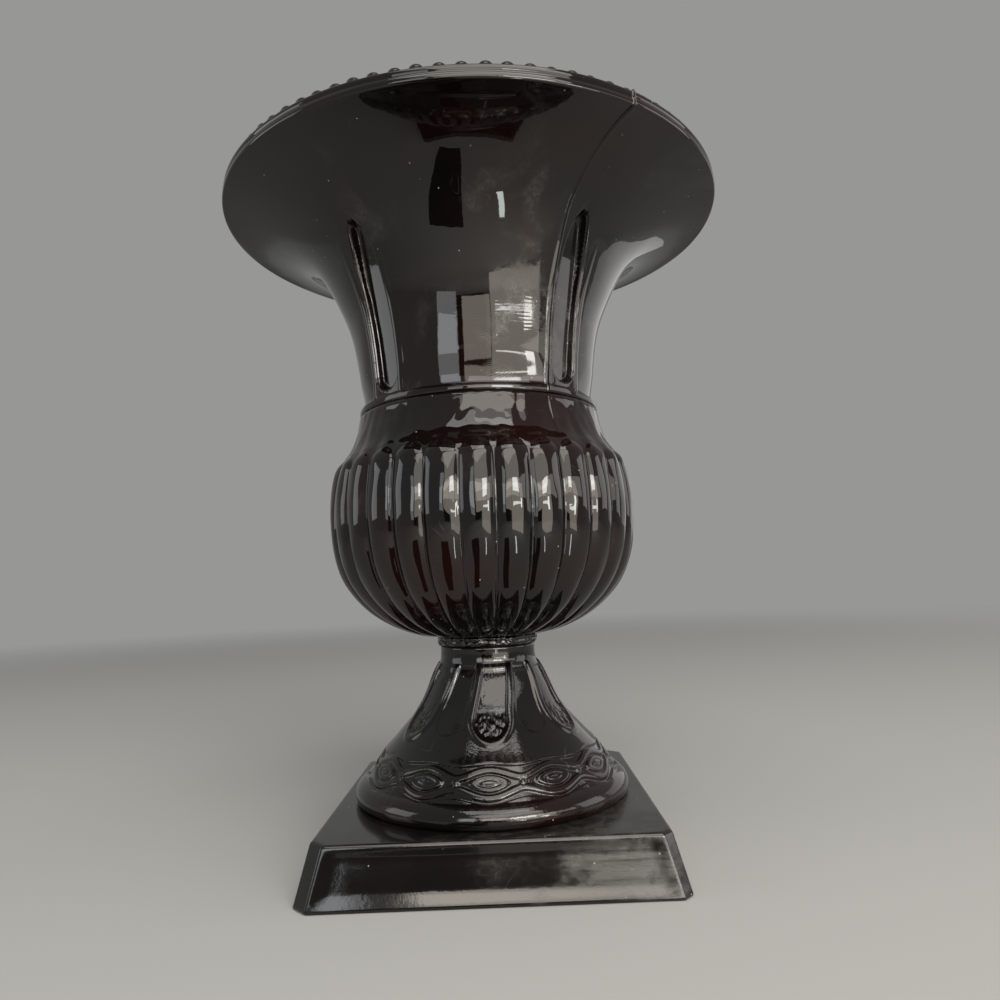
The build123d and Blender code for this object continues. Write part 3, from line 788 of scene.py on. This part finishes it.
# Pedestal foot
foot = dict(
    columns=600, baseRows=20, bandRows=56, bandOverlap=3, trumpetRows=60, collarRows=7,
    bossRadius=30.0, bossZ=13.8, baseZ=15.3, underRadius=40.9, topZ=60.9, topRadius=14.9,
    socketRadius=6.1, socketDepth=1.3,
    base=[(41.3, 15.3), (41.9, 15.55), (42.45, 16.2), (42.75, 17.2), (42.7, 18.3), (42.3, 19.5), (41.5, 20.6),
          (40.4, 21.4), (39.5, 21.85)],
    band=[(39.4, 21.9), (38.9, 22.6), (37.9, 24.1), (36.5, 26.1), (35.1, 28.1), (33.8, 29.8), (33.2, 30.5)],
    trumpet=[(33.1, 30.6), (31.5, 32.0), (29.6, 34.0), (27.7, 36.1), (25.9, 38.2), (24.2, 40.3),
             (22.6, 42.5), (21.2, 44.8), (20.0, 47.2), (18.9, 49.6), (17.9, 51.8), (16.9, 53.6),
             (16.1, 54.9), (15.5, 56.0)],
    collar=[(15.45, 56.1), (15.2, 57.0), (15.1, 58.6), (15.1, 59.8), (15.2, 60.7), (15.2, 60.9)],
    tongues=6, tongueTurn=1.6, twist=6.2, twistRange=(40.0, 56.0),
    tongueTop=55.5, tongueEnd=(55.2, 56.0), tongueHalfTop=3.5, tongueHalfLow=4.75, tongueLow=40.9,
    tongueDepth=0.5, bedEdge=(0.94, 1.02), bedEnd=(53.9, 54.6),
    tongueBorder=2.1, borderHeight=0.42, borderOut=(0.9, 1.04), borderIn=(0.98, 1.12),
    pebbles=620, pebbleRadius=0.44, pebbleSizes=(0.7, 1.6), pebbleLow=0.27, pebbleHigh=0.03,
    pebbleChange=(39.5, 43.5), pebbleLeast=0.02,
    fluteTop=59.0, fluteHalf=11.6, fluteTaper=0.92, fluteLow=41.0, fluteRound=4.6,
    fluteDepth=0.8, fluteShallow=0.3, fluteFade=(36.5, 47.0), fluteEdge=0.16)


# Share of a tapered tongue with a round lower end: 0 on its middle line and 1 on its edge
def tongueShare(across, height, halfLow, halfTop, low, top):
    half = np.interp(height, (low, top), (halfLow, halfTop))
    below = np.clip(low - height, 0, None) / halfLow
    return np.hypot(across / half, below)


# Stippled floor: the highest of many small domes at seeded places in a tongue, bold in its
# round lower end and faint above
def pebbled(across, height, s):
    x = rng.uniform(-s["tongueHalfLow"], s["tongueHalfLow"], s["pebbles"])
    z = rng.uniform(s["tongueLow"] - s["tongueHalfLow"], s["tongueTop"], s["pebbles"])
    size = s["pebbleRadius"] * rng.uniform(*s["pebbleSizes"], s["pebbles"])
    stretch = rng.uniform(*s["pebbleSizes"], s["pebbles"])
    apart = np.hypot((across[:, None] - x) * stretch, height[:, None] - z) / size
    dome = ridge(apart, 1.0, power=0.5) * size / s["pebbleRadius"]
    strength = s["pebbleLow"] + (s["pebbleHigh"] - s["pebbleLow"]) * smoothStep(*s["pebbleChange"], height)
    return strength * dome.max(1)


# Height of what is pressed into the trumpet: stippled tongues in raised borders, and plain
# flutes with round ends between them
def trumpetRelief(radius, height, azimuth, s):
    pitch, wide = 360 / s["tongues"], s["tongueBorder"]
    turned = azimuth - s["tongueTurn"] - s["twist"] * smoothStep(*s["twistRange"], height)
    fromTongue = angleFrom(turned, pitch=pitch)
    across = radius * np.radians(fromTongue)
    halfLow, halfTop, ends = s["tongueHalfLow"], s["tongueHalfTop"], (s["tongueLow"], s["tongueTop"])
    inner = tongueShare(across, height, halfLow, halfTop, *ends)
    outer = tongueShare(across, height, halfLow + wide, halfTop + wide, *ends)
    below = 1 - smoothStep(*s["tongueEnd"], height)
    bed = (1 - smoothStep(*s["bedEdge"], inner)) * (1 - smoothStep(*s["bedEnd"], height))
    border = (1 - smoothStep(*s["borderOut"], outer)) * smoothStep(*s["borderIn"], inner) * below
    relief = s["borderHeight"] * border - s["tongueDepth"] * bed
    tongueOf = np.round((turned - fromTongue) / pitch).astype(int) % s["tongues"]
    level = np.broadcast_to(height, relief.shape)
    for tongue in range(s["tongues"]):
        inside = (bed > s["pebbleLeast"]) & (tongueOf == tongue)
        relief[inside] += pebbled(across[inside], level[inside], s) * bed[inside]
    fromFlute, half = angleFrom(turned, pitch / 2, pitch), s["fluteHalf"]
    t = tongueShare(fromFlute, height, half, half * s["fluteTaper"], s["fluteLow"], s["fluteTop"])
    low = np.clip(s["fluteLow"] - height, 0, None) / s["fluteRound"]
    t = np.where(height < s["fluteLow"], np.hypot(fromFlute / half, low), t)
    shallow = s["fluteShallow"]
    deep = s["fluteDepth"] * (shallow + (1 - shallow) * smoothStep(*s["fluteFade"], height))
    return relief - deep * ridge(t, 1.0, power=0.5) * below * smoothStep(0, s["fluteEdge"], 1 - t)


# Relief band of the foot. Heights above and below its middle are stretched before they are used.
band = dict(
    ovals=12, middle=26.4, drop=0.72, stretch=1.18, wavePower=0.8,
    reachAtOval=3.75, reachBetween=1.35, strandHalf=1.06, strandPower=0.45, strandSlope=0.6,
    lensHalf=6.0, lensRise=2.5, lensHeight=0.56, lensDome=0.12, lensEdge=(0.84, 1.0), almondPower=1.7,
    coreHalf=2.9, coreRise=0.95, coreGroove=0.24, grooveWidth=0.24,
    slitHalf=1.7, slitEase=0.4, slitDepth=0.2, slitWidth=0.2,
    dotRadius=0.85, dotEdge=(0.3, -0.1), dotShare=0.95, dotGroove=0.26,
    linkRun=2.9, linkHalf=0.8, linkRise=1.9, reliefHeight=0.66,
    borderBelow=(4.0, 5.4), borderAbove=(4.3, 4.95), borderEase=0.14)


# Two strands mirror each other and make a chain of ovals; each oval holds an almond pad with a
# small grooved core; a link runs from the lower strand of an oval to the upper strand of the
# next, with a small ringed dot on the crossing; the band is sunk below the foot's surface, and
# its edges follow the chain
def bandRelief(radius, height, azimuth, s):
    pitch = 360 / s["ovals"]
    across = radius * np.radians(angleFrom(azimuth, pitch=pitch))
    up = (height - s["middle"]) * s["stretch"]
    even = 0.5 + 0.5 * np.cos(np.radians(azimuth * s["ovals"]))
    wave = even ** s["wavePower"]
    reach = s["reachBetween"] + (s["reachAtOval"] - s["reachBetween"]) * wave
    slope = 1 / np.sqrt(1 + s["strandSlope"] * even * (1 - even))
    strand = ridge((np.abs(up) - reach) * slope, s["strandHalf"], s["strandPower"])

    def almond(half, rise):
        power = s["almondPower"]
        return (np.abs(across / half) ** power + np.abs(up / rise) ** power) ** (1 / power)

    def groove(distance, width):
        return np.exp(-((distance / width) ** 2))

    onLens, onCore = almond(s["lensHalf"], s["lensRise"]), almond(s["coreHalf"], s["coreRise"])
    slitEnd = smoothStep(s["slitHalf"] - s["slitEase"], s["slitHalf"], np.abs(across))
    slit = groove(up, s["slitWidth"]) * (1 - slitEnd)
    lens = (s["lensHeight"] + s["lensDome"] * (1 - np.clip(onLens, 0, 1) ** 2)
            - s["coreGroove"] * groove(onCore - 1, s["grooveWidth"]) - s["slitDepth"] * slit)
    lens = lens * (1 - smoothStep(*s["lensEdge"], onLens))

    fromDot = radius * np.radians(angleFrom(azimuth, pitch / 2, pitch))
    run = fromDot / s["linkRun"]
    linkLine = s["linkRise"] * np.sin(np.clip(run, -1, 1) * np.pi / 2)
    link = ridge(up - linkLine, s["linkHalf"]) * (np.abs(run) < 1)
    filled = np.maximum.reduce([s["reliefHeight"] * strand, s["reliefHeight"] * link, lens])
    apart = np.hypot(fromDot, up) - s["dotRadius"]
    dot = smoothStep(*s["dotEdge"], apart)
    filled = filled + dot * (s["reliefHeight"] * s["dotShare"] - filled)
    filled = filled - s["dotGroove"] * groove(apart, s["grooveWidth"])
    lowEdge, highEdge = [between + (atOval - between) * wave
                         for between, atOval in (s["borderBelow"], s["borderAbove"])]
    openBelow = smoothStep(-s["borderEase"], s["borderEase"], up + lowEdge)
    openAbove = 1 - smoothStep(-s["borderEase"], s["borderEase"], up - highEdge)
    return (filled - s["drop"]) * openBelow * openAbove


# The closed profile runs out under the boss, round the base, up the band, the trumpet and the
# collar, and in over the socket
def makeFoot(s, bandSettings):
    under = step((0, s["bossZ"]), s["bossRadius"], (s["underRadius"], s["baseZ"]), counts=(3, 2, 3))
    base, belt = softCurve(s["base"], s["baseRows"]), softCurve(s["band"], s["bandRows"])
    trumpet, collar = softCurve(s["trumpet"], s["trumpetRows"]), softCurve(s["collar"], s["collarRows"])
    top = step((s["topRadius"], s["topZ"]), s["socketRadius"], (0, s["topZ"] - s["socketDepth"]),
               counts=(3, 2, 3))
    profile = joined(under, base, belt, trumpet, collar, top)
    azimuth = evenColumns(s["columns"])
    radius, height = profile[:, :1], profile[:, 1:]
    bandStart = len(under) + len(base)
    trumpetStart = bandStart + len(belt)
    onBand = rowMask(profile, bandStart - s["bandOverlap"], trumpetStart + s["bandOverlap"])
    onTrumpet = rowMask(profile, trumpetStart, trumpetStart + len(trumpet))
    raised = np.where(onBand, bandRelief(radius, height, azimuth, bandSettings), 0)
    raised = raised + np.where(onTrumpet, trumpetRelief(radius, height, azimuth, s), 0)
    return gridMesh("pedestalFoot", pressed(profile, raised, azimuth), poles=True)


place(makeFoot(foot, band), footGlass, "black_glass", "pedestal_foot")


# Square plinth. The column spacing goes by the degrees from a corner.
plinth = dict(
    columns=420, columnSpacing=(0.25, ((2.0, 8.0, 1.2),)), sideRows=18, edgeRows=6,
    halfLow=50.95, halfHigh=47.05, height=15.3, cornerCuts=(2.6, 3.2, 3.2, 4.0), cornerSoft=0.315,
    edgeRound=0.8, sideStart=1.12, dish=0.34, dishEdge=4.6, dishLow=(0.5, 4.5), dishHigh=(11.3, 14.8),
    underShares=(0.0, 0.5, 0.985), topShares=(0.02, 0.06, 0.5, 0.96, 1.0),
    seatRadius=30.1, seatRadii=(30.0, 30.0, 20.0, 0.0), seatDrops=(0.2, 1.6, 1.6, 1.6))


# Outline of a square with cut corners, from azimuth: the distance to the nearest of its
# eight sides along that direction, rounded where two sides meet. Each corner has its own cut,
# and the middle of each side is dished by a hair.
def cutSquare(azimuth, half, s, dished):
    angle = np.radians(azimuth)
    x, y = np.abs(np.sin(angle)), np.abs(np.cos(angle))
    quarter = (azimuth // 90).astype(int) % 4
    cut = np.array(s["cornerCuts"])[quarter]
    toSide = half / np.maximum(x, y)
    along = toSide * np.minimum(x, y)
    hollow = s["dish"] * dished * smoothStep(0, s["dishEdge"], half - cut - along)
    toCut = (2 * half - cut) / (x + y)
    return softMin(toSide - hollow, toCut, s["cornerSoft"])


# The outline is stacked up a leaning side whose two edges are quarter circles; the flat top
# and the underside are shares of the way to it, and the seat is sunk in the top
def makePlinth(s):
    edge, top = s["edgeRound"], s["height"]
    turn = np.linspace(0, np.pi / 2, s["edgeRows"])
    arcLow = np.stack([-edge * (1 - np.sin(turn)), edge * (1 - np.cos(turn))], -1)
    arcHigh = np.stack([-edge * (1 - np.cos(turn)), top - edge * (1 - np.sin(turn))], -1)
    side = straight((0, s["sideStart"]), (0, top - s["sideStart"]), s["sideRows"])
    rim = np.vstack([arcLow, side, arcHigh])         # inset from the leaning side, height

    def spacing(a):
        return smoothSteps(*s["columnSpacing"], np.abs(angleFrom(a, 45, 90)))

    azimuth = columnsOf(spacing, s["columns"])
    inset, height = rim[:, :1], rim[:, 1:]
    half = s["halfLow"] - (s["halfLow"] - s["halfHigh"]) / top * height + inset
    dished = smoothStep(*s["dishLow"], height) * (1 - smoothStep(*s["dishHigh"], height))
    outer = cutSquare(azimuth, half, s, dished)
    under = outer[:1] * np.array(s["underShares"])[:, None]
    share = np.array(s["topShares"])[:, None]
    flat = outer[-1:] * (1 - share) + s["seatRadius"] * share
    seat = np.array(s["seatRadii"])[:, None] + 0 * azimuth
    seatZ = top - np.array(s["seatDrops"])[:, None]
    level = np.vstack([np.zeros((len(under), 1)), height, np.full((len(flat), 1), top), seatZ])
    radius = np.vstack([under, outer, flat, seat])
    return gridMesh("squarePlinth", revolved(radius, level, azimuth), poles=True)


place(makePlinth(plinth), plinthGlass, "satin_black_glass", "square_plinth")


# Floor, light and camera. Lengths here are metres, but for the camera's place.
studio = dict(
    floorColour=(0.38, 0.38, 0.372, 1), floorRoughness=0.9, floorColumns=96,
    floorRings=(2.4, 1.5, 0.8, 0.3, 0.0),
    fade=(0.6, 1.5), worldColour=(0.31, 0.31, 0.305, 1),
    # azimuth, distance and height of the middle, width, height, radiance, colour
    lamps=[
        ("frontKey", 16, 1.30, 0.86, 1.35, 0.95, 2.3, (1.0, 0.94, 0.85)),
        ("ceiling", 8, 0.62, 1.42, 1.1, 0.7, 3.0, (1.0, 0.98, 0.94)),
        ("lowWall", 13, 1.32, 0.40, 0.98, 0.26, 2.2, (1.0, 0.92, 0.81)),
        ("lowWallFar", 53, 1.32, 0.40, 0.80, 0.26, 2.0, (1.0, 0.93, 0.83)),
        ("strip", -19, 1.30, 0.40, 0.29, 0.46, 2.2, (0.93, 0.97, 1.0)),
        ("stripNear", -19, 0.52, 0.17, 0.115, 0.16, 1.9, (0.93, 0.97, 1.0)),
        ("lowNear", 31, 0.54, 0.125, 0.37, 0.24, 2.7, (1.0, 0.90, 0.77)),
        ("lowMid", 1, 0.54, 0.180, 0.20, 0.15, 2.7, (1.0, 0.90, 0.77)),
        ("windowHigh", 25, 1.12, 0.38, 0.40, 0.19, 11.0, (0.98, 1.0, 0.98)),
        ("windowStrip", 28, 1.10, 0.165, 0.46, 0.030, 11.0, (1.0, 1.0, 0.97)),
        ("floorWindow", 21, 0.240, 0.020, 0.014, 0.085, 10.0, (0.94, 1.0, 0.95)),
        ("windowLow", 42, 1.10, 0.165, 0.10, 0.12, 15.0, (1.0, 1.0, 0.97)),
        ("wallLeft", -80, 1.25, 0.42, 0.60, 0.62, 1.7, (0.96, 0.98, 1.0)),
        ("wallRight", 88, 1.25, 0.42, 0.60, 0.62, 1.7, (1.0, 0.98, 0.95)),
        ("backRight", 132, 1.30, 0.34, 1.10, 0.50, 0.6, (1.0, 0.98, 0.94)),
        ("pool", 10, 0.80, 0.72, 0.90, 0.60, 1.8, (1.0, 0.96, 0.9)),
    ], middle=(0, 0, 0.1),
    aims={"pool": (0.13, -0.78, 0.0), "stripNear": (0, 0, 0.17), "lowNear": (0, 0, 0.125),
          "lowMid": (0, 0, 0.18), "floorWindow": (0, 0, 0.6)},
    flagColour=(0.012, 0.012, 0.012, 1), flagRoughness=1.0, flagRows=4, flagColumns=24, flagNearZ=0.002,
    # azimuths, distances of the two ends and height of the far end
    flags=[("flagLow", (-27.0, -3.0), (0.072, 0.36), 0.004),
           ("flagHigh", (-13.5, 8.0), (1.245, 1.25), 0.245)])


# A sheet of the studio with a plain matt material, from radii and heights that are turned
def stageSheet(name, radius, height, azimuth, closed, colour, roughness):
    points = revolved(radius / metresPerMm + 0 * azimuth, height / metresPerMm + 0 * azimuth, azimuth)
    sheet = meshObject(name, points.reshape(-1, 3), quadsOf(gridIndex(*points.shape[:2], closed)))
    material = bpy.data.materials.new(name)
    material.use_nodes = True
    shader = material.node_tree.nodes["Principled BSDF"]
    shader.inputs["Base Color"].default_value = colour
    shader.inputs["Roughness"].default_value = roughness
    shader.inputs["Specular IOR Level"].default_value = 0.0
    sheet.data.materials.append(material)
    return sheet


# A round floor that fades into the background with distance
def makeFloor(s):
    radius = np.array(s["floorRings"])[:, None]
    floor = stageSheet("studioFloor", radius, 0 * radius, evenColumns(s["floorColumns"]), True,
                       s["floorColour"], s["floorRoughness"])
    tree = floor.active_material.node_tree
    spot = addNode(tree, "ShaderNodeTexCoord").outputs["Object"]
    shown = falling(tree, vectorMath(tree, "LENGTH", spot), *s["fade"])
    tree.links.new(shown, tree.nodes["Principled BSDF"].inputs["Alpha"])


# Black flags as studios use for glass: one sheet lies on the floor in front of the vase and one
# stands farther out; only reflections show them, so the glass keeps dark places between lamps
def makeFlags(s):
    for name, turns, (near, far), farZ in s["flags"]:
        azimuth = np.linspace(*turns, s["flagColumns"])[None, :]
        share = np.linspace(1, 0, s["flagRows"])[:, None]
        height = s["flagNearZ"] + (farZ - s["flagNearZ"]) * share
        flag = stageSheet(name, near + (far - near) * share, height, azimuth, False,
                          s["flagColour"], s["flagRoughness"])
        flag.visible_camera = flag.visible_diffuse = flag.visible_shadow = False


# Every lamp is a soft panel that faces the middle of the vase or its own aim; radiance times
# pi times area is its power
def makeLamps(s):
    for name, azimuth, distance, height, width, tall, radiance, colour in s["lamps"]:
        lamp = bpy.data.lights.new(name, "AREA")
        lamp.shape, lamp.size, lamp.size_y = "RECTANGLE", width, tall
        lamp.energy = radiance * np.pi * width * tall
        lamp.color = colour
        made = bpy.data.objects.new(name, lamp)
        target = Vector(s["aims"].get(name, s["middle"]))
        angle = np.radians(azimuth)
        spot = Vector((distance * np.sin(angle), -distance * np.cos(angle), height))
        turn = (target - spot).to_track_quat("-Z", "Y").to_matrix().to_4x4()
        made.matrix_world = Matrix.Translation(spot) @ turn
        made.visible_camera = False
        bpy.context.scene.collection.objects.link(made)


def makeWorld(s):
    world = bpy.data.worlds.new("studioWorld")
    world.use_nodes = True
    world.node_tree.nodes["Background"].inputs["Color"].default_value = s["worldColour"]
    bpy.context.scene.world = world


# Where the photograph was taken from, worked out from the rim, the neck line, the foot and the
# plinth: place (mm), direction, upward direction and lens
view = dict(spot=(6.57, -245.95, 80.81), look=(-0.0025, 0.9942, 0.1075), up=(0.0410, -0.1074, 0.9934),
            lens=26.9, sensor=36.0, nearest=0.01, farthest=50.0)


def makeCamera(s):
    camera = bpy.data.objects.new("camera", bpy.data.cameras.new("camera"))
    camera.data.lens, camera.data.sensor_width = s["lens"], s["sensor"]
    camera.data.clip_start, camera.data.clip_end = s["nearest"], s["farthest"]
    back = -Vector(s["look"]).normalized()
    right = Vector(s["up"]).cross(back).normalized()
    turn = Matrix((right, back.cross(right), back)).transposed().to_4x4()
    camera.matrix_world = Matrix.Translation(Vector(s["spot"]) * metresPerMm) @ turn
    bpy.context.scene.collection.objects.link(camera)
    bpy.context.scene.camera = camera


makeFloor(studio)
makeFlags(studio)
makeLamps(studio)
makeCamera(view)
makeWorld(studio)
bpy.context.scene.view_settings.view_transform = "Standard"
print("made the studio")
